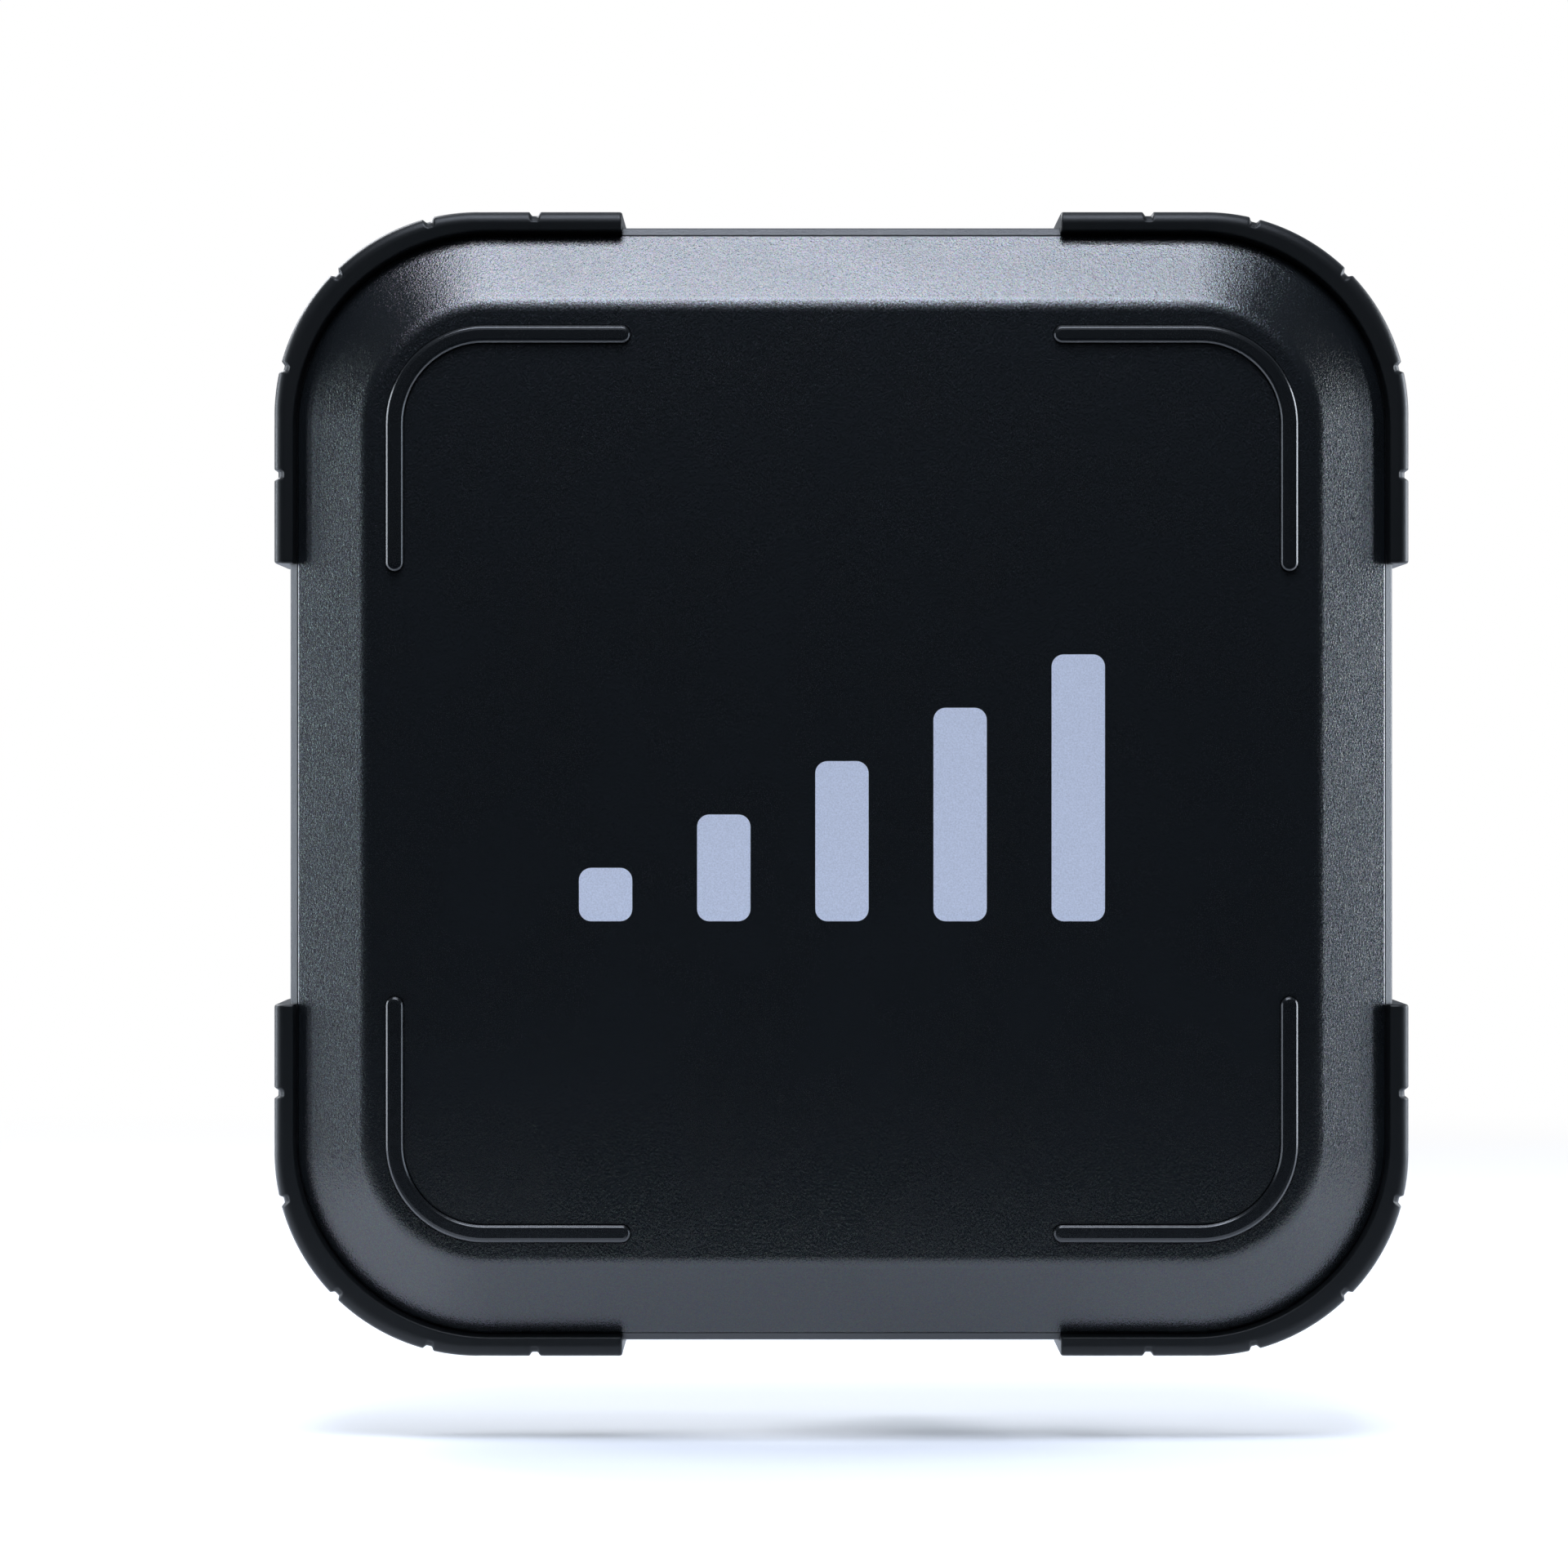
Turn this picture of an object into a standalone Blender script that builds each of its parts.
"""Wireless video receiver: a square flat-panel antenna receiver for a lighting stand.

X is the viewer's right when looking at the radome, +Z is up and the radome faces -Y.
The origin is where the top of a stand's 16 mm spigot seats inside the stand socket.
Solids are laid out in millimetres from the centre of the panel, with y the depth behind
the flat radome face. to_frame() moves a point to the object's frame, in metres.
Objects named cut_* are hidden helpers that are subtracted from or joined to a piece.
"""

import math

import bmesh
import bpy
from mathutils import Vector

for old in list(bpy.data.objects):
    bpy.data.objects.remove(old, do_unlink=True)

# ---------------------------------------------------------------- shared dimensions, mm
GAP = 0.3                   # clearance between neighbouring pieces

ARC_X, ARC_Z = 92.6, 93.9   # centre shared by the panel's corner arcs
SHELL_RADIUS = 51.2         # corner radius of the front shell's rim
RIM_RADIUS = 53.2           # corner radius of the rear shell's rim
GUARD_RADIUS = 57.4         # corner radius outside the rubber guards
CORNER_SEG = 7              # flats in each 90 degree corner
REAR_Y = 47.0               # back of the rear shell

HOUSING_X, HOUSING_Y = 90.0, 68.0       # half width and back face of the electronics housing
HOUSING_BOTTOM, HOUSING_TOP = -52.0, 92.0
PLATE_X, PLATE_Y = 48.0, 79.0           # half width and back face of the battery plate

PIVOT_Y, PIVOT_Z = 78.0, -100.0         # tilt axis, which runs along X
PIVOT = (0, PIVOT_Y, PIVOT_Z)
SOCKET_BOTTOM = -146.0
SPIGOT_DEEP = 33.0                      # spigot depth inside the socket
SEAT_Z = SOCKET_BOTTOM + SPIGOT_DEEP

RIGHT, LEFT = (1, 0, 0), (-1, 0, 0)
BACK, FRONT = (0, 1, 0), (0, -1, 0)
UP = (0, 0, 1)

# ---------------------------------------------------------------- materials
# key: (name, base colour, roughness, metallic)
MATERIALS = {
    "shell": ("textured_black_plastic", (0.022, 0.024, 0.027), 0.45, 0.0),
    "rubber": ("black_rubber", (0.016, 0.018, 0.020), 0.6, 0.0),
    "anodised": ("black_anodised_aluminium", (0.020, 0.021, 0.024), 0.38, 0.6),
    "plastic": ("moulded_black_plastic", (0.025, 0.026, 0.028), 0.5, 0.0),
    "gold": ("gold_plated_brass", (0.83, 0.62, 0.27), 0.2, 1.0),
    "nickel": ("nickel_plated_brass", (0.55, 0.52, 0.48), 0.3, 1.0),
    "steel": ("black_oxide_steel", (0.05, 0.05, 0.055), 0.35, 0.9),
    "bright": ("stainless_steel", (0.6, 0.6, 0.62), 0.3, 1.0),
    "pcb": ("green_circuit_board", (0.02, 0.12, 0.06), 0.5, 0.0),
    "copper": ("copper_patch", (0.8, 0.42, 0.25), 0.3, 1.0),
    "chip": ("chip_epoxy", (0.03, 0.03, 0.03), 0.6, 0.0),
    "pad": ("silicone_thermal_pad", (0.55, 0.6, 0.65), 0.8, 0.0),
    "cable": ("brown_coax_jacket", (0.1, 0.05, 0.03), 0.5, 0.0),
    "light": ("clear_light_pipe", (0.75, 0.8, 0.8), 0.15, 0.0),
}


def make_material(name, colour, roughness, metallic):
    made = bpy.data.materials.new(name)
    made.use_nodes = True
    inputs = made.node_tree.nodes["Principled BSDF"].inputs
    inputs["Base Color"].default_value = (*colour, 1.0)
    inputs["Roughness"].default_value = roughness
    inputs["Metallic"].default_value = metallic
    made.diffuse_color = (*colour, 1.0)
    return made


MAT = {key: make_material(*row) for key, row in MATERIALS.items()}

# ---------------------------------------------------------------- mesh helpers


def to_frame(x, y, z):
    return Vector((x / 1000.0, (y - PIVOT_Y) / 1000.0, (z - SEAT_Z) / 1000.0))


def around(centre, half):
    """Span of `half` either side of a centre."""
    return centre - half, centre + half


def finish(name, shape, origin, mat=None):
    """Turns a bmesh in millimetres into an object; without a material it is a hidden helper."""
    base = to_frame(*origin)
    for vert in shape.verts:
        vert.co = to_frame(*vert.co) - base
    bmesh.ops.recalc_face_normals(shape, faces=shape.faces)
    mesh = bpy.data.meshes.new(name)
    shape.to_mesh(mesh)
    shape.free()
    obj = bpy.data.objects.new(name, mesh)
    bpy.context.scene.collection.objects.link(obj)
    obj.location = base
    if mat is None:
        obj.hide_render = True
        obj.display_type = "WIRE"
    else:
        mesh.materials.append(MAT[mat])
        mesh.shade_smooth()
        mesh.set_sharp_from_angle(angle=math.radians(32))
    return obj


def loft(name, rings, origin, mat=None, hollow=False):
    """Bridges equal rings of points. The end rings are filled, or joined up if hollow."""
    shape = bmesh.new()
    loops = [[shape.verts.new(point) for point in ring] for ring in rings]
    count = len(loops[0])
    following = loops[1:] + loops[:1] if hollow else loops[1:]
    for here, there in zip(loops, following):
        for i in range(count):
            j = (i + 1) % count
            shape.faces.new((here[i], here[j], there[j], there[i]))
    if not hollow:
        shape.faces.new(loops[0])
        shape.faces.new(list(reversed(loops[-1])))
    return finish(name, shape, origin, mat)


def rounded_ring(centres_x, centres_z, radius, y, seg):
    """Rounded rectangle at depth y, from +X towards +Z, given the spans of its arc centres."""
    (x0, x1), (z0, z1) = centres_x, centres_z
    points = []
    for k, (x, z) in enumerate(((x1, z1), (x0, z1), (x0, z0), (x1, z0))):
        for i in range(seg + 1):
            angle = math.radians(90 * k + 90 * i / seg)
            points.append((x + radius * math.cos(angle), y, z + radius * math.sin(angle)))
    return points


def panel_rings(profile):
    """Outlines of the panel for a profile of (corner radius, y)."""
    return [
        rounded_ring(around(0, ARC_X), around(0, ARC_Z), radius, y, CORNER_SEG)
        for radius, y in profile
    ]


def slab(name, xs, ys, zs, radius, seg, mat=None, chamfer=0.0, origin=None):
    """Plate with rounded corners, thickness along y, and a chamfer round its back face."""
    stages = [(ys[0], 0.0), (ys[1], chamfer)]
    if chamfer:
        stages.insert(1, (ys[1] - chamfer, 0.0))
    centres_x = (xs[0] + radius, xs[1] - radius)
    centres_z = (zs[0] + radius, zs[1] - radius)
    rings = [rounded_ring(centres_x, centres_z, radius - inset, y, seg) for y, inset in stages]
    return loft(name, rings, origin or (sum(xs) / 2, ys[0], sum(zs) / 2), mat)


def box(name, xs, ys, zs, mat=None, bevel=0.0, origin=None):
    """Box from its three spans, with its origin at the middle unless given."""
    middle = [sum(span) / 2 for span in (xs, ys, zs)]
    size = [span[1] - span[0] for span in (xs, ys, zs)]
    shape = bmesh.new()
    bmesh.ops.create_cube(shape, size=1.0)
    for vert in shape.verts:
        vert.co = [m + c * s for m, c, s in zip(middle, vert.co, size)]
    if bevel:
        bmesh.ops.bevel(
            shape, geom=list(shape.edges), offset=bevel, segments=1, affect="EDGES", profile=0.5
        )
    return finish(name, shape, origin or middle, mat)


def circle(radius, height, axis, centre, seg, turn=0.5):
    """Points about one of the main axes, started `turn` of a step round."""
    along = Vector(axis)
    first = Vector(UP) if abs(along.z) < 0.9 else Vector(RIGHT)
    second = along.cross(first)
    points = []
    for k in range(seg):
        angle = 2 * math.pi * (k + turn) / seg
        spoke = first * math.cos(angle) + second * math.sin(angle)
        points.append(Vector(centre) + along * height + spoke * radius)
    return points


def lathe(name, profile, axis, centre, seg, mat=None, origin=None):
    """Turns a profile of (radius, distance along the axis). Its ends are flat discs."""
    rings = [circle(radius, height, axis, centre, seg) for radius, height in profile]
    return loft(name, rings, origin or centre, mat)


def rod(name, radius, span, axis, centre, seg, mat=None):
    """Plain cylinder over a span of distances along the axis."""
    return lathe(name, [(radius, height) for height in span], axis, centre, seg, mat)


def boolean(target, tool, kind):
    modifier = target.modifiers.new(tool.name, "BOOLEAN")
    modifier.operation = kind
    modifier.solver = "EXACT"
    modifier.object = tool


def cut(target, tool):
    boolean(target, tool, "DIFFERENCE")


def join(target, tool):
    boolean(target, tool, "UNION")


# which side of X and of Z each corner is on
CORNERS = {
    "top_left": (-1, 1), "top_right": (1, 1), "bottom_left": (-1, -1), "bottom_right": (1, -1),
}


def corner_places(x, top, bottom):
    """(x, z) by corner name."""
    return {
        where: (side_x * x, top if side_z > 0 else bottom)
        for where, (side_x, side_z) in CORNERS.items()
    }


# ---------------------------------------------------------------- screws
SMALL_SCREW_R, SMALL_SCREW_H = 2.8, 2.2
BRACKET_SCREW_R, BRACKET_SCREW_H = 3.4, 3.0
SCREW_CHAMFER, HEX_DEEP = 0.4, 1.3


def cap_screw(name, radius, height, place):
    """Head of a screw facing back, with a hexagon socket half its radius."""
    profile = [(radius, 0.0), (radius, height - SCREW_CHAMFER), (radius - SCREW_CHAMFER, height)]
    head = lathe(name, profile, BACK, place, 10, "steel")
    cut(head, rod(f"cut_{name}", radius * 0.5, (height - HEX_DEEP, height + 1), BACK, place, 6))


def sunk_screw(target, name, x, y, z, depth):
    """Small screw in a counterbore sunk in the target's back face at y."""
    bore_radius = SMALL_SCREW_R + GAP
    cut(target, rod(f"cut_bore_{name}", bore_radius, (-depth, 3.0), BACK, (x, y, z), 10))
    cap_screw(name, SMALL_SCREW_R, SMALL_SCREW_H, (x, y - depth + GAP, z))


# ---------------------------------------------------------------- moulded shells
# (corner radius, y) round the wall, outside first and then back along the inside
FRONT_PROFILE = [
    (29.6, 0.0), (32.2, 0.45), (34.4, 1.6), (50.7, 11.95), (SHELL_RADIUS, 12.4),
    (SHELL_RADIUS, 13.6), (48.6, 13.6), (33.0, 4.0), (29.0, 2.5),
]
REAR_PROFILE = [
    (42.5, REAR_Y), (46.4, 46.4), (49.5, 43.6), (50.9, 39.0), (51.6, 19.2),
    (RIM_RADIUS, 18.4), (RIM_RADIUS, 13.7), (52.9, 13.35), (51.5, 13.05), (51.5, 15.1),
    (48.8, 15.1), (48.0, 38.0), (43.5, 44.5),
]
SEAL_PROFILE = [(49.1, 13.9), (50.9, 13.9), (50.9, 14.8), (49.1, 14.8)]
POST_AT, POST_FOOT_Y = 92, 45.2     # posts stand at +/-POST_AT in x and z
POST_R, POST_LENGTH = 4.0, 31.4


def build_rear_shell():
    """Rear shell with a window for the electronics and four posts inside."""
    shell = loft("rear_shell", panel_rings(REAR_PROFILE), (0, REAR_Y, 0), "shell")
    window = slab(
        "cut_electronics_window", around(0, 80), (40, 50), (-42, 82), 4, seg=3, origin=(0, 45, 20)
    )
    cut(shell, window)
    for side_x in (-1, 1):
        for side_z in (-1, 1):
            foot = (side_x * POST_AT, POST_FOOT_Y, side_z * POST_AT)
            name = f"cut_post_{side_x}_{side_z}"
            join(shell, rod(name, POST_R, (0, POST_LENGTH), FRONT, foot, 10))


def build_seal():
    """Perimeter seal between the two shells."""
    loft("perimeter_seal", panel_rings(SEAL_PROFILE), (0, 14.35, 0), "rubber", hollow=True)


# ---------------------------------------------------------------- rubber corner guards
GUARD_FRONT_Y, GUARD_BACK_Y = 8.7, 50.0
GUARD_END_X, GUARD_END_Z = 57.9, 58.2   # where the arms of a guard stop
GUARD_OFFSET = 3.6      # how far out the outer arc's centre is from the shells' arc centre
GUARD_OUTSIDE = 54.5    # profile points beyond this radius follow the grooves and the swell
HALF_ARC = math.pi / 4 * GUARD_RADIUS

# grooves across each guard, by distance along its outside from the corner's middle
NOTCHES = (-56.6, -28.3, 0.0, 28.7, 57.3)
NOTCH_TOP, NOTCH_FLOOR, NOTCH_DEPTH = 3.0, 1.2, 1.0
ARC_STEPS = 6           # arc stations closer than NOTCH_CLEAR to a groove are left out
NOTCH_CLEAR = 2.6

# (corner radius, y) round the guard's section
GUARD_PROFILE = [
    (51.6, 12.75), (53.55, 12.75), (53.55, 18.75), (51.95, 19.55), (51.25, 39.1),
    (49.85, 43.95), (46.6, 46.85), (45.4, 47.2), (45.7, GUARD_BACK_Y - 0.8),
    (47.0, GUARD_BACK_Y), (55.6, GUARD_BACK_Y), (GUARD_RADIUS, GUARD_BACK_Y - 2.0),
    (GUARD_RADIUS, 11.2), (55.0, GUARD_FRONT_Y), (52.2, 9.1),
]


def guard_swell(along):
    """How far the outside stands beyond GUARD_RADIUS: its arc is tighter than the shell's."""
    if abs(along) >= HALF_ARC:
        return 0.0
    angle = math.pi / 4 - along / GUARD_RADIUS
    radius = GUARD_RADIUS - GUARD_OFFSET
    across = GUARD_OFFSET * (math.sin(angle) - math.cos(angle))
    outward = GUARD_OFFSET * (math.cos(angle) + math.sin(angle))
    return max(0.0, outward + math.sqrt(radius**2 - across**2) - GUARD_RADIUS)


def guard_stations():
    """(distance along the guard, groove depth) from the end of one arm to the other."""
    stations = [
        (-HALF_ARC - (ARC_X - GUARD_END_X), 0.0),
        (HALF_ARC + (ARC_Z - GUARD_END_Z), 0.0),
    ]
    for notch in NOTCHES:
        stations += [(along, 0.0) for along in around(notch, NOTCH_TOP / 2)]
        stations += [(along, NOTCH_DEPTH) for along in around(notch, NOTCH_FLOOR / 2)]
    for i in range(ARC_STEPS + 1):
        along = -HALF_ARC + 2 * HALF_ARC * i / ARC_STEPS
        if all(abs(along - notch) > NOTCH_CLEAR for notch in NOTCHES):
            stations.append((along, 0.0))
    return sorted(stations)


def guard_point(along, radius):
    """(x, z) in the +X +Z corner: an arm along X, the arc, then an arm along Z."""
    if along < -HALF_ARC:
        return ARC_X + HALF_ARC + along, ARC_Z + radius
    if along > HALF_ARC:
        return ARC_X + radius, ARC_Z - (along - HALF_ARC)
    angle = math.pi / 4 - along / GUARD_RADIUS
    return ARC_X + radius * math.cos(angle), ARC_Z + radius * math.sin(angle)


def build_guard(where, side_x, side_z):
    rings = []
    for along, groove in guard_stations():
        ring = []
        for radius, y in GUARD_PROFILE:
            if radius > GUARD_OUTSIDE:
                radius += guard_swell(along) - groove
            x, z = guard_point(along, radius)
            ring.append((side_x * x, y, side_z * z))
        rings.append(ring)
    loft(f"corner_guard_{where}", rings, (side_x * ARC_X, 29.0, side_z * ARC_Z), "rubber")


# ---------------------------------------------------------------- rubber strips on the radome
STRIP_X, STRIP_Z, STRIP_R = 117.35, 117.95, 23.5    # centre line of the arms and of the bend
STRIP_END_X, STRIP_END_Z = 57.75, 58.05             # centres of the round ends
STRIP_W, STRIP_PROUD, STRIP_SEAT, STRIP_CHAMFER = 4.5, 1.5, 1.0, 0.6


def strip_ring(half, y, side_x, side_z):
    """L-shaped outline `half` either side of the strip's centre line, with round ends."""
    bend = [math.pi / 2 * i / 5 for i in range(6)]
    end = [math.pi * i / 4 for i in range(5)]

    def arc(radius, angles):
        return [
            (
                STRIP_X - STRIP_R + radius * math.sin(angle),
                STRIP_Z - STRIP_R + radius * math.cos(angle),
            )
            for angle in angles
        ]

    low = [(STRIP_X + half * math.cos(a), STRIP_END_Z - half * math.sin(a)) for a in end]
    left = [(STRIP_END_X - half * math.sin(a), STRIP_Z - half * math.cos(a)) for a in end]
    points = arc(STRIP_R + half, bend) + low + arc(STRIP_R - half, bend[::-1]) + left
    return [(side_x * x, y, side_z * z) for x, z in points]


def build_strip(front_shell, where, side_x, side_z):
    """Rubber strip and the groove it sits in."""
    half = STRIP_W / 2
    origin = (side_x * STRIP_X, 0, side_z * STRIP_Z)
    stages = [
        (half, STRIP_SEAT - GAP),
        (half, -STRIP_PROUD + STRIP_CHAMFER),
        (half - STRIP_CHAMFER, -STRIP_PROUD),
    ]
    rings = [strip_ring(width, y, side_x, side_z) for width, y in stages]
    loft(f"face_strip_{where}", rings, origin, "rubber")
    rings = [strip_ring(half + GAP, y, side_x, side_z) for y in (-1.0, STRIP_SEAT)]
    cut(front_shell, loft(f"cut_strip_groove_{where}", rings, origin))


# ---------------------------------------------------------------- antenna array in the radome
PATCHES = corner_places(62, 62, -62) | {"centre": (0, 0)}       # (x, z) of the patches
COAX_ENDS = corner_places(46, 66, -24) | {"centre": (0, 72)}    # (x, z) where cables end
PATCH_HALF = 19
COAX_R, COAX_STEPS = 0.9, 10
COAX_START_Y, COAX_BULGE_Y, COAX_END_Y = 13.8, 30, 51.7
COAX_LEAD = Vector((0, 9, 0))   # from each end to its guide point
COAX_DROP = 6                   # cable start below the patch centre


def build_patch(where, x, z):
    """Patch with its feed stub."""
    name = f"patch_antenna_{where}"
    patch = box(name, around(x, PATCH_HALF), (8.4, 9.4), around(z, PATCH_HALF), "copper")
    join(patch, rod(f"cut_feed_{where}", 3.0, (0.0, 2.6), BACK, (x, 9.0, z), 8))


def build_coax(where, x, z):
    """Cable along a Bezier curve of degree four, with flat ends."""
    end_x, end_z = COAX_ENDS[where]
    start = Vector((x, COAX_START_Y, z - COAX_DROP))
    end = Vector((end_x, COAX_END_Y, end_z))
    bulge = Vector(((x + end_x) / 2, COAX_BULGE_Y, (z + end_z) / 2))
    guides = [start, start + COAX_LEAD, bulge, end - COAX_LEAD, end]
    path = []
    for i in range(COAX_STEPS + 1):
        u = i / COAX_STEPS
        weights = [math.comb(4, k) * u**k * (1 - u) ** (4 - k) for k in range(5)]
        path.append(sum((g * weight for g, weight in zip(guides, weights)), Vector()))
    rings = []
    for i, point in enumerate(path):
        if i in (0, COAX_STEPS):
            along = Vector(BACK)
        else:
            along = (path[i + 1] - path[i - 1]).normalized()
        first = Vector((0.35, 0, 1)).cross(along).normalized()
        second = along.cross(first)
        ring = []
        for k in range(6):
            angle = math.pi * k / 3
            ring.append(point + (first * math.cos(angle) + second * math.sin(angle)) * COAX_R)
        rings.append(ring)
    loft(f"antenna_coax_{where}", rings, start, "cable")


def build_antennas():
    slab(
        "antenna_board", around(0, 104), (11.9, 13.5), around(0, 104), 6, seg=2, mat="pcb",
        origin=(0, 12.7, 0),
    )
    for where, (x, z) in PATCHES.items():
        build_patch(where, x, z)
        build_coax(where, x, z)


# ---------------------------------------------------------------- electronics housing
HOUSING_WALL = 4
SLOT_COUNT, LONG_SLOTS = 11, 4
SLOT_TOP_Z, SLOT_PITCH, SLOT_W, SLOT_DEEP = 76.0, 11.0, 7.6, 3.0
LONG_SLOT_X, SHORT_SLOT_X = -62.0, 54.0     # closed ends of the slots
CAN_X, CAN_Y, CAN_BOTTOM, CAN_TOP = 34, 46.6, -14, 44
CAN_WALL = 0.5


def slot_cutter(name, z, closed_x):
    """Cooling groove with a round closed end, open at the +X edge."""
    radius = SLOT_W / 2
    points = [(HOUSING_X + 3, z - radius), (HOUSING_X + 3, z + radius)]
    for i in range(7):
        angle = math.pi * i / 6
        points.append((closed_x + radius - radius * math.sin(angle), z + radius * math.cos(angle)))
    depths = (HOUSING_Y - SLOT_DEEP, HOUSING_Y + 2)
    rings = [[(x, y, z_point) for x, z_point in points] for y in depths]
    return loft(name, rings, (closed_x, HOUSING_Y, z))


def build_housing():
    """Open-fronted housing with a heat boss, cooling slots and board posts."""
    housing = slab(
        "electronics_housing", around(0, HOUSING_X), (REAR_Y + GAP, HOUSING_Y),
        (HOUSING_BOTTOM, HOUSING_TOP), 7, seg=4, mat="anodised", chamfer=1.4,
    )
    cavity = slab(
        "cut_housing_cavity", around(0, HOUSING_X - HOUSING_WALL), (40, 63.0),
        (HOUSING_BOTTOM + HOUSING_WALL, HOUSING_TOP - HOUSING_WALL), 4, seg=2,
        origin=(0, 50, 20),
    )
    cut(housing, cavity)
    join(housing, box("cut_heat_boss", around(0, 16), (58.6, 64.0), (8, 40)))
    for i in range(SLOT_COUNT):
        closed_x = LONG_SLOT_X if i < LONG_SLOTS else SHORT_SLOT_X
        cut(housing, slot_cutter(f"cut_slot_{i}", SLOT_TOP_Z - SLOT_PITCH * i, closed_x))
    for side in (-1, 1):
        for z in (-34, 74):
            name = f"cut_board_post_{side}_{z}"
            join(housing, rod(name, 3.0, (0, 9.6), FRONT, (side * 72.0, 63.5, z), 8))
    return housing


def build_shield_can():
    """Thin-walled can, open at the back."""
    can = box("rf_shield_can", around(0, CAN_X), (CAN_Y, 51.7), (CAN_BOTTOM, CAN_TOP), "bright")
    inside = box(
        "cut_can_inside", around(0, CAN_X - CAN_WALL), (CAN_Y + CAN_WALL, 53.0),
        (CAN_BOTTOM + CAN_WALL, CAN_TOP - CAN_WALL),
    )
    cut(can, inside)


def build_electronics():
    box("receiver_board", around(0, 78), (52.0, 53.6), (-40, 80), "pcb")
    build_shield_can()
    box("video_processor", around(0, 14), (53.9, 56.4), (10, 38), "chip")
    box("thermal_pad", around(0, 13.5), (56.65, 58.35), (10.5, 37.5), "pad")


# ---------------------------------------------------------------- sockets in the -X wall
PORT_Y = 55.3           # centre line of the sockets
WALL_X = -HOUSING_X
BNC_Z = (76.0, 54.0)
POWER_Z = -0.5

# (radius, distance out from the wall)
BNC_PROFILE = [
    (7.4, -8.0), (7.4, -4.4), (6.1, -4.4), (6.1, 4.3), (4.82, 4.5), (4.82, 17.4),
    (4.15, 17.4), (4.15, 9.0), (2.4, 9.0), (2.4, 13.6), (1.0, 13.6), (1.0, 12.0),
]
NUT_PROFILE = [(6.4, 0.3), (7.6, 0.3), (7.6, 3.7), (7.2, 4.1), (6.4, 4.1)]
POWER_PROFILE = [
    (7.2, -7.5), (7.2, -4.4), (5.7, -4.4), (5.7, 0.3), (7.0, 0.3), (7.0, 2.2), (6.3, 2.8),
    (4.3, 2.8), (4.3, -3.0), (1.4, -3.0), (1.4, -1.0),
]
LUG_INNER, LUG_OUTER = 4.4, 5.5     # bayonet lugs, from the jack's axis
PORT_LIP, PORT_WALL, PORT_MOUTH = 0.4, 0.45, 7.0


def build_bnc(housing, number, z):
    """Jack with two bayonet lugs, its hole and its nut."""
    centre = (WALL_X, PORT_Y, z)
    cut(housing, rod(f"cut_bnc_hole_{number}", 6.5, (-2, 8), RIGHT, centre, 16))
    jack = lathe(f"bnc_jack_{number}", BNC_PROFILE, LEFT, centre, 16, "gold")
    for name, side in (("cut_lug", -1), ("cut_lug_b", 1)):
        lug = box(
            f"{name}_{number}", (WALL_X - 13.4, WALL_X - 11.6), around(PORT_Y, 0.9),
            sorted((z + side * LUG_INNER, z + side * LUG_OUTER)),
        )
        join(jack, lug)
    rings = [circle(radius, out, LEFT, centre, 16, turn=0) for radius, out in NUT_PROFILE]
    loft(f"bnc_nut_{number}", rings, centre, "nickel", hollow=True)


def build_port(housing, name, z, half_z, half_y, depth):
    """Rectangular socket: a box with a mouth facing -X."""
    hole = box(
        f"cut_{name}", (WALL_X - 3, WALL_X + 6), around(PORT_Y, half_y + GAP),
        around(z, half_z + GAP),
    )
    cut(housing, hole)
    outer_x = WALL_X - PORT_LIP
    port = box(
        name, (outer_x, WALL_X + depth), around(PORT_Y, half_y), around(z, half_z), "bright"
    )
    mouth = box(
        f"cut_{name}_mouth", (outer_x - 1, WALL_X + PORT_MOUTH),
        around(PORT_Y, half_y - PORT_WALL), around(z, half_z - PORT_WALL),
    )
    cut(port, mouth)


def build_power_socket(housing):
    centre = (WALL_X, PORT_Y, POWER_Z)
    cut(housing, rod("cut_power_hole", 6.0, (-2, 8), RIGHT, centre, 16))
    lathe("power_socket", POWER_PROFILE, LEFT, centre, 16, "nickel")


# ---------------------------------------------------------------- rocker switch in the -X wall
SWITCH_Z = -27.0
SWITCH_Y_HALF, SWITCH_Z_HALF = 5.0, 9.0     # half sizes of the bezel's body
FLANGE_EXTRA, BEZEL_WALL = 1.4, 1.1
ROCKER_PIVOT = (WALL_X + 1.5, PORT_Y, SWITCH_Z)
ROCKER_REST = math.radians(-7.0)            # the cap rocks about an axis along Y
ROCKER_HALF_Y = 3.5
# (x, z) from the pivot
ROCKER_OUTLINE = [
    (-4.6, 7.0), (-3.6, 0.0), (-4.6, -7.0), (0.5, -7.4), (3.5, -3.0), (3.5, 3.0), (0.5, 7.4),
]


def switch_box(name, xs, extra, mat=None):
    """Box `extra` larger all round than the bezel's body in y and z."""
    ys = around(PORT_Y, SWITCH_Y_HALF + extra)
    return box(name, xs, ys, around(SWITCH_Z, SWITCH_Z_HALF + extra), mat)


def build_bezel(housing):
    cut(housing, switch_box("cut_switch", (WALL_X - 3, WALL_X + 6), GAP))
    bezel = switch_box("switch_bezel", (WALL_X - 2.0, WALL_X + 10), 0.0, "plastic")
    flange_x = (WALL_X - 2.0, WALL_X - GAP)
    join(bezel, switch_box("cut_switch_flange", flange_x, FLANGE_EXTRA))
    cut(bezel, switch_box("cut_switch_mouth", (WALL_X - 4.0, WALL_X + 8), -BEZEL_WALL))


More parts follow.
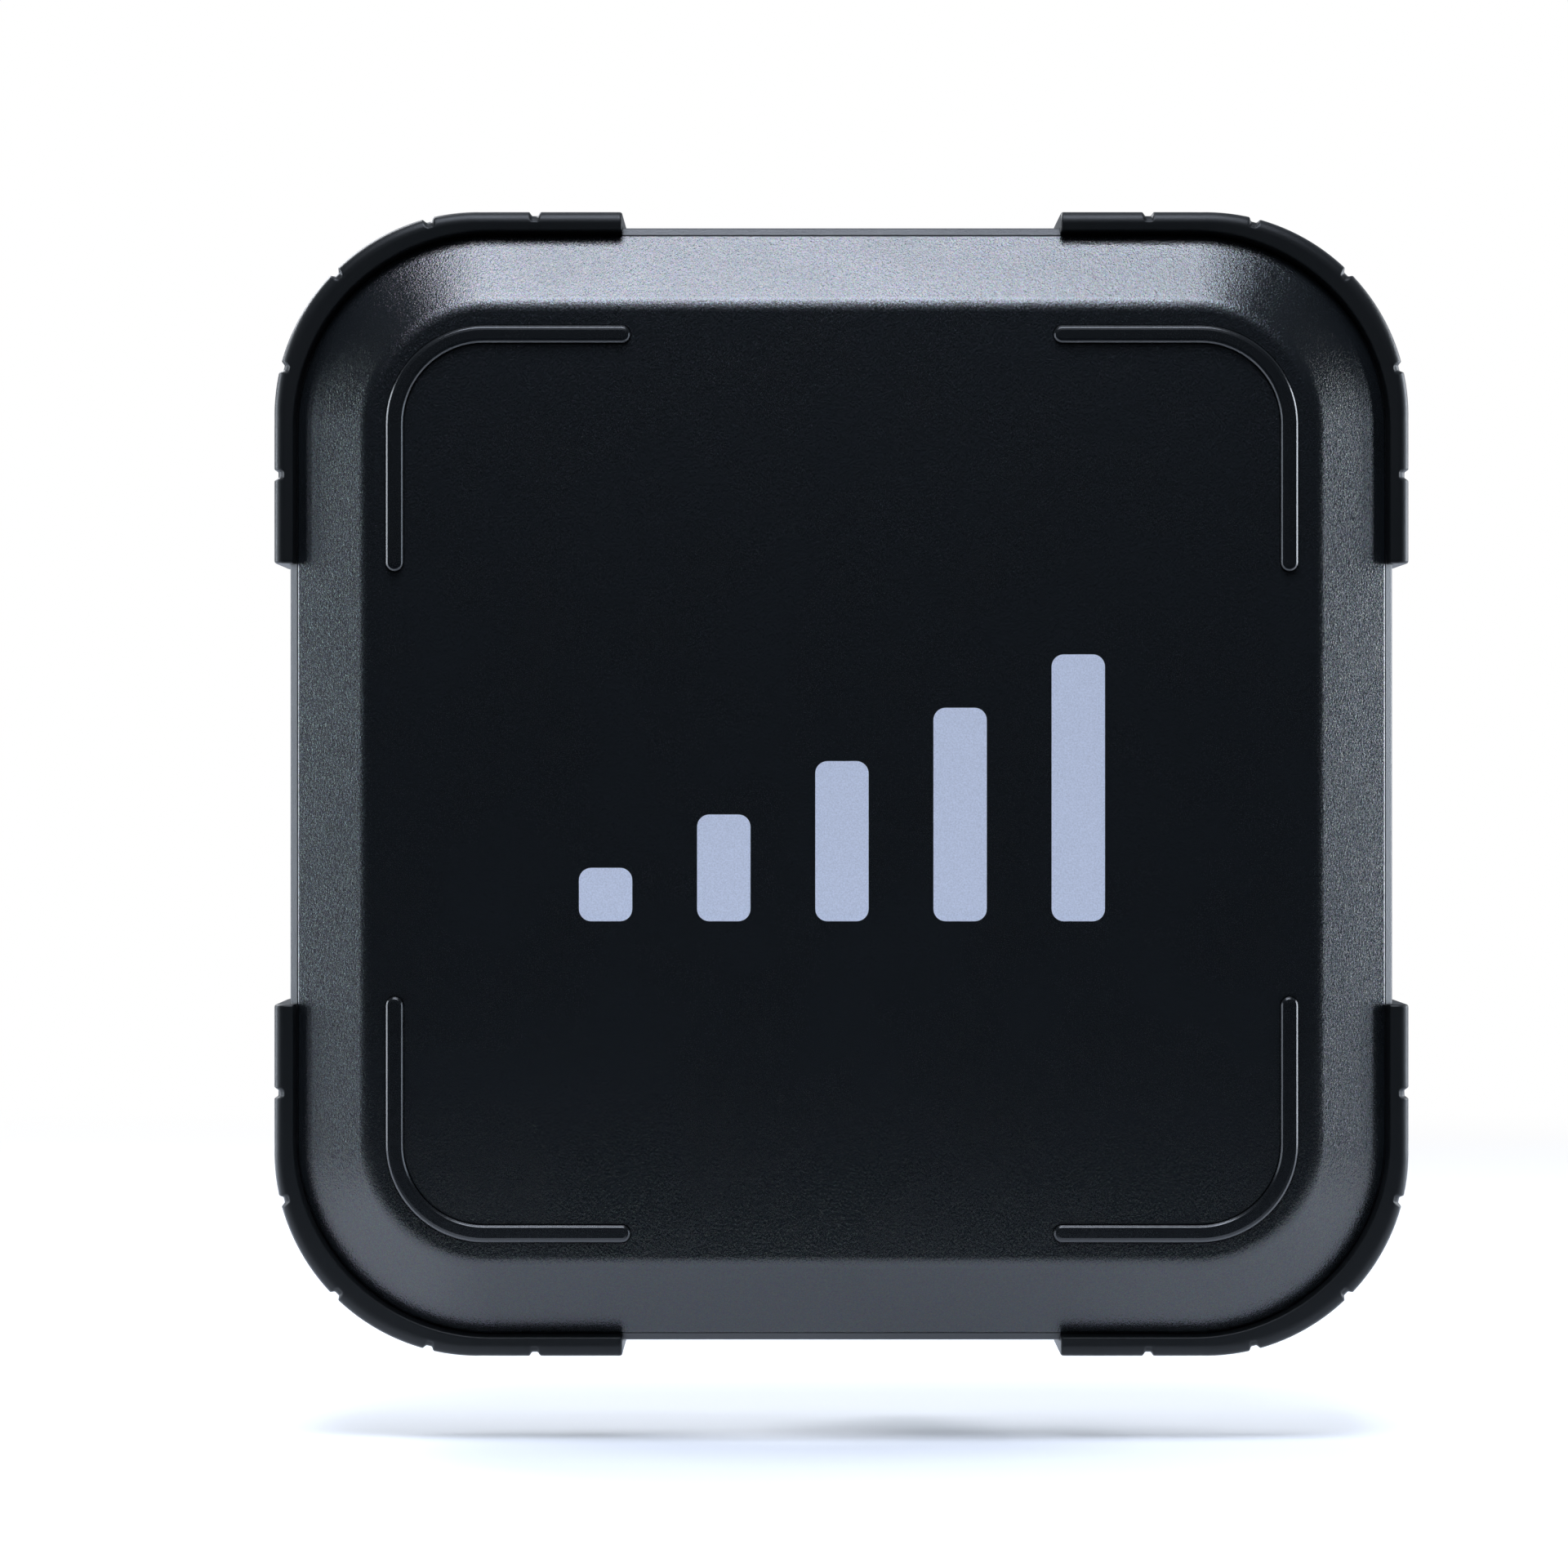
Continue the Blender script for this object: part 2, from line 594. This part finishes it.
def build_rocker():
    cos, sin = math.cos(ROCKER_REST), math.sin(ROCKER_REST)
    pivot_x, _, pivot_z = ROCKER_PIVOT
    rings = [
        [(pivot_x + x * cos + z * sin, y, pivot_z - x * sin + z * cos) for x, z in ROCKER_OUTLINE]
        for y in around(PORT_Y, ROCKER_HALF_Y)
    ]
    loft("power_rocker", rings, ROCKER_PIVOT, "plastic")


# ---------------------------------------------------------------- pairing button, status lights
BUTTON_X, BUTTON_Z = -76.0, 66.0
BUTTON_PROFILE = [(4.6, -7.0), (4.6, -5.3), (3.4, -5.3), (3.4, 0.9), (2.9, 1.4)]
LIGHT_Z = (46.0, 38.0, 30.0, 22.0)
LIGHT_PROFILE = [(1.5, -6.0), (1.5, 0.25), (1.1, 0.5)]


def build_button(housing):
    place = (BUTTON_X, HOUSING_Y, BUTTON_Z)
    cut(housing, rod("cut_button_hole", 3.7, (-3, 10), FRONT, place, 14))
    lathe("pair_button", BUTTON_PROFILE, BACK, place, 14, "plastic")


def build_lights(housing):
    """Four light pipes below the button, joined by a bar inside the housing."""
    places = [(BUTTON_X, HOUSING_Y, z) for z in LIGHT_Z]
    middle = (BUTTON_X, HOUSING_Y, (LIGHT_Z[0] + LIGHT_Z[-1]) / 2)
    lights = lathe(
        "status_light_pipe", LIGHT_PROFILE, BACK, places[0], 10, "light", origin=middle
    )
    for k, place in enumerate(places):
        cut(housing, rod(f"cut_light_hole_{k}", 1.8, (-3, 8), FRONT, place, 10))
        if k:
            join(lights, lathe(f"cut_light_{k}", LIGHT_PROFILE, BACK, place, 10))
    bar_z = (LIGHT_Z[-1] - 2.5, LIGHT_Z[0] + 2.5)
    join(lights, box("cut_light_bar", around(BUTTON_X, 2.2), (60.0, 62.6), bar_z))


# ---------------------------------------------------------------- battery plate
# V-shaped channel: half widths at the open top and at the foot
V_TOP_X, V_FOOT_X, V_FOOT_Z, V_FLOOR_Y = 27.0, 15.0, -14.0, 71.8
V_UNDERCUT = 3.0
LATCH_X, LATCH_BOTTOM, LATCH_TOP, LATCH_CLEAR = 8.0, -35.0, -23.0, 0.4
# (y, z) round the latch's wedge
LATCH_PROFILE = [
    (73.0, LATCH_BOTTOM), (PLATE_Y + 2.6, LATCH_BOTTOM), (PLATE_Y + 2.6, -33.0),
    (PLATE_Y - 0.2, LATCH_TOP), (73.0, LATCH_TOP),
]
CONTACT_PITCH, CONTACT_COUNT = 5.0, 4
BLOCK_TOP = -2.5


def v_channel():
    """Channel open at the top, undercut at both sides and the foot."""
    mouth = [(-V_TOP_X, 40.0), (V_TOP_X, 40.0), (V_FOOT_X, V_FOOT_Z), (-V_FOOT_X, V_FOOT_Z)]
    under = [
        (x + math.copysign(V_UNDERCUT, x), z if z > 0 else z - V_UNDERCUT) for x, z in mouth
    ]
    stages = ((under, V_FLOOR_Y), (under, 75.2), (mouth, PLATE_Y + 2))
    rings = [[(x, y, z) for x, z in points] for points, y in stages]
    return loft("cut_v_channel", rings, (0, 75, 10))


def build_plate():
    plate = slab(
        "battery_plate", around(0, PLATE_X), (HOUSING_Y + GAP, PLATE_Y), (-42.0, 36.0), 5,
        seg=3, mat="plastic", chamfer=1.0,
    )
    cut(plate, v_channel())
    pocket = box(
        "cut_latch_pocket", around(0, LATCH_X + LATCH_CLEAR), (69.4, PLATE_Y + 2),
        (LATCH_BOTTOM - LATCH_CLEAR, LATCH_TOP + LATCH_CLEAR),
    )
    cut(plate, pocket)
    cut(plate, box("cut_lever_pocket", (-PLATE_X - 2, -37.4), (70.6, 76.4), (-30.0, -4.0)))
    return plate


def build_latch():
    rings = [[(x, y, z) for y, z in LATCH_PROFILE] for x in (-LATCH_X, LATCH_X)]
    loft("battery_latch", rings, (0, 75.0, -29.0), "bright")


def build_release_lever():
    box(
        "battery_release_lever", (-PLATE_X - 4.0, -37.8), (71.0, 76.0), (-19.0, -4.6),
        "plastic", bevel=0.6, origin=(-43.0, 73.5, -12.0),
    )


def build_contacts():
    """Contact block with a row of pins pointing up."""
    block = box(
        "battery_contact_block", around(0, 11.0), (V_FLOOR_Y + GAP, 76.2), (-12.5, BLOCK_TOP),
        "plastic", bevel=0.5,
    )
    profile = [(1.0, -1.0), (1.0, 5.0), (0.6, 5.6)]
    for k in range(CONTACT_COUNT):
        x = CONTACT_PITCH * (k - (CONTACT_COUNT - 1) / 2)
        join(block, lathe(f"cut_contact_{k}", profile, UP, (x, 74.2, BLOCK_TOP), 8))


def build_back_screws(housing, plate):
    """Sunk screws in the corners of the housing and of the battery plate."""
    places = corner_places(HOUSING_X - 7.5, HOUSING_TOP - 6.5, HOUSING_BOTTOM + 6.5)
    for where, (x, z) in places.items():
        sunk_screw(housing, f"housing_screw_{where}", x, HOUSING_Y, z, depth=2.6)
    for where, (x, z) in corner_places(PLATE_X - 6.5, 30.0, -37.0).items():
        sunk_screw(plate, f"battery_plate_screw_{where}", x, PLATE_Y, z, depth=3.0)


# ---------------------------------------------------------------- stand mount
BRACKET_X, BRACKET_Y, BRACKET_BOTTOM, BRACKET_TOP = 34, 52.3, -125, -72
BRACKET_SCREW_INSET = 5.5
EAR_R, EAR_X = 12.5, (17.4, 25.0)
BORE_R = 4.3                # pivot bore in the bracket and the lever
SPIGOT_BORE_R = 8.15        # bore for a 16 mm stand spigot
SLEEVE_R = 13.6
CLAMP = (0, PIVOT_Y, -130.0)

# (radius, distance along -X)
BOLT_PROFILE = [(6.6, 30.2), (7.0, 29.8), (7.0, 25.3), (4.0, 25.3), (4.0, -46.5), (3.4, -47.0)]
PAD_PROFILE = [(3.2, 9.0), (3.8, 9.5), (3.8, 12.2)]
KNOB_PROFILE = [
    (3.0, 12.5), (3.0, 20.5), (7.0, 20.5), (7.0, 23.0), (10.0, 24.0), (10.0, 34.0), (8.8, 35.6),
]
# (radius, distance along +X)
HUB_PROFILE = [(9.0, 26.0), (9.5, 26.6), (9.5, 40.0), (8.0, 42.0)]
# tilt handle: (distance below the pivot, half width in x, half width in y, centre x)
HANDLE = [
    (3.0, 4.0, 6.0, 34.0), (16.0, 3.6, 5.2, 35.5), (34.0, 3.6, 5.6, 39.0), (44.0, 2.6, 4.0, 40.5),
]


def bracket_ear(side):
    """Ear: flat at the base plate, round at the pivot."""
    points = [(50.0, -82.0), (50.0, -118.0)]
    for i in range(9):
        angle = math.pi * i / 8
        points.append((PIVOT_Y + EAR_R * math.sin(angle), PIVOT_Z - EAR_R * math.cos(angle)))
    rings = [[(side * x, y, z) for y, z in points] for x in EAR_X]
    return loft(f"cut_ear_{side}", rings, (side * 21, PIVOT_Y, PIVOT_Z))


def build_bracket():
    bracket = slab(
        "mount_bracket", around(0, BRACKET_X), (REAR_Y + GAP, BRACKET_Y),
        (BRACKET_BOTTOM, BRACKET_TOP), 5, seg=3, mat="anodised", chamfer=0.8,
        origin=(0, REAR_Y + GAP, PIVOT_Z),
    )
    for side in (-1, 1):
        join(bracket, bracket_ear(side))
    cut(bracket, rod("cut_pivot_bore", BORE_R, (-40, 40), RIGHT, PIVOT, 14))
    inset = BRACKET_SCREW_INSET
    places = corner_places(BRACKET_X - inset, BRACKET_TOP - inset, BRACKET_BOTTOM + inset)
    for where, (x, z) in places.items():
        place = (x, BRACKET_Y + GAP, z)
        cap_screw(f"bracket_screw_{where}", BRACKET_SCREW_R, BRACKET_SCREW_H, place)


def build_socket():
    """Tilting socket: a barrel on the pivot and a sleeve for the spigot below it."""
    foot = (0, PIVOT_Y, SOCKET_BOTTOM)
    socket = rod("stand_socket", 12.0, (-17.0, 17.0), RIGHT, PIVOT, 20, "anodised")
    sleeve_profile = [(SLEEVE_R - 0.8, 0), (SLEEVE_R, 0.8), (SLEEVE_R, 42.0)]
    join(socket, lathe("cut_sleeve", sleeve_profile, UP, foot, 20))
    join(socket, rod("cut_clamp_boss", 8.0, (8.5, 17.2), LEFT, CLAMP, 14))
    cut(socket, rod("cut_barrel_bore", 4.4, (-30, 30), RIGHT, PIVOT, 14))
    cut(socket, rod("cut_spigot_bore", SPIGOT_BORE_R, (-2, SPIGOT_DEEP), UP, foot, 20))
    cut(socket, rod("cut_stud_bore", 4.2, (2.0, 22.0), LEFT, CLAMP, 12))


def build_tilt_lever():
    """Hub on the pivot with a handle that hangs down and leans out."""
    lever = lathe("tilt_lock_lever", HUB_PROFILE, RIGHT, PIVOT, 16, "plastic")
    angles = [math.pi * (k + 0.5) / 4 for k in range(8)]
    rings = [
        [
            (x + half_x * math.cos(a), PIVOT_Y + half_y * math.sin(a), PIVOT_Z - below)
            for a in angles
        ]
        for below, half_x, half_y, x in HANDLE
    ]
    join(lever, loft("cut_lever_handle", rings, PIVOT))
    cut(lever, rod("cut_lever_bore", BORE_R, (20, 60), RIGHT, PIVOT, 14))


def build_mount():
    build_bracket()
    lathe("pivot_bolt", BOLT_PROFILE, LEFT, PIVOT, 14, "bright")
    build_socket()
    lathe("pin_clamp_pad", PAD_PROFILE, LEFT, CLAMP, 12, "gold")
    lathe("pin_clamp_knob", KNOB_PROFILE, LEFT, CLAMP, 16, "plastic")
    build_tilt_lever()


# ---------------------------------------------------------------- assembly


def build_receiver():
    front_shell = loft("front_shell", panel_rings(FRONT_PROFILE), (0, 0, 0), "shell")
    build_rear_shell()
    build_seal()
    for where, (side_x, side_z) in CORNERS.items():
        build_guard(where, side_x, side_z)
        build_strip(front_shell, where, side_x, side_z)
    build_antennas()

    housing = build_housing()
    build_electronics()
    for number, z in enumerate(BNC_Z, 1):
        build_bnc(housing, number, z)
    build_port(housing, "hdmi_socket", z=33.0, half_z=7.4, half_y=2.9, depth=11.0)
    build_port(housing, "usb_socket", z=16.0, half_z=4.1, half_y=1.9, depth=8.5)
    build_power_socket(housing)
    build_bezel(housing)
    build_rocker()
    build_button(housing)
    build_lights(housing)

    plate = build_plate()
    build_latch()
    build_release_lever()
    build_contacts()
    build_back_screws(housing, plate)
    build_mount()


build_receiver()
